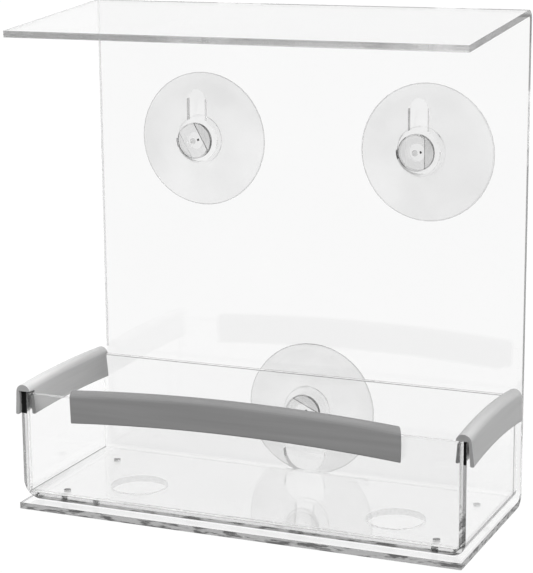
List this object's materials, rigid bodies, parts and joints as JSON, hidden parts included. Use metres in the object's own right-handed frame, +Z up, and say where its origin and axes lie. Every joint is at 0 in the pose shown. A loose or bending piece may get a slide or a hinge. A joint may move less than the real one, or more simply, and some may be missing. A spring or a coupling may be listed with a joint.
{
  "type": "window bird feeder",
  "caption": "Clear window bird feeder: a bent sheet with foot, back and sloped roof, a slide-out seed tray with soft perch guards on its rims, and suction cups held in keyholes.",
  "frame": {"origin": "middle of the foot's underside", "axes": "+Z up; the open front with the tray's perch guard faces -Y, the suction cups and the window are on the +Y side, +X is to the right for someone who looks at the front"},
  "size_m": [0.2066, 0.092, 0.2136],
  "materials": {
    "sheet_acrylic": "clear, polished, with brighter sawn edges",
    "tray_acrylic": "clear, polished, slightly greyer where seen through the sheet",
    "clear_vinyl": "clear soft vinyl, moulded",
    "grey_rubber": "satin grey rubber"
  },
  "bodies": {
    "sheet": {"bent_sheet": "sheet_acrylic"},
    "tray": {"tray_shell": "tray_acrylic", "tray_front_panel": "tray_acrylic", "tray_back_panel": "tray_acrylic", "front_edge_guard": "grey_rubber", "left_edge_guard": "grey_rubber", "right_edge_guard": "grey_rubber"},
    "upper_left_cup": {"upper_left_suction_cup": "clear_vinyl"},
    "upper_right_cup": {"upper_right_suction_cup": "clear_vinyl"},
    "lower_cup": {"lower_suction_cup": "clear_vinyl"}
  },
  "joints": [
    {"name": "tray_slide", "type": "slide", "parent": "sheet", "child": "tray", "axis": [0, -1, 0], "range_m": [0, 0.08]},
    {"name": "upper_left_cup_slide", "type": "slide", "parent": "sheet", "child": "upper_left_cup", "axis": [0, 0, 1], "range_m": [0, 0.0185]},
    {"name": "upper_right_cup_slide", "type": "slide", "parent": "sheet", "child": "upper_right_cup", "axis": [0, 0, 1], "range_m": [0, 0.0185]},
    {"name": "lower_cup_slide", "type": "slide", "parent": "sheet", "child": "lower_cup", "axis": [0, 0, 1], "range_m": [-0.0185, 0]}
  ]
}
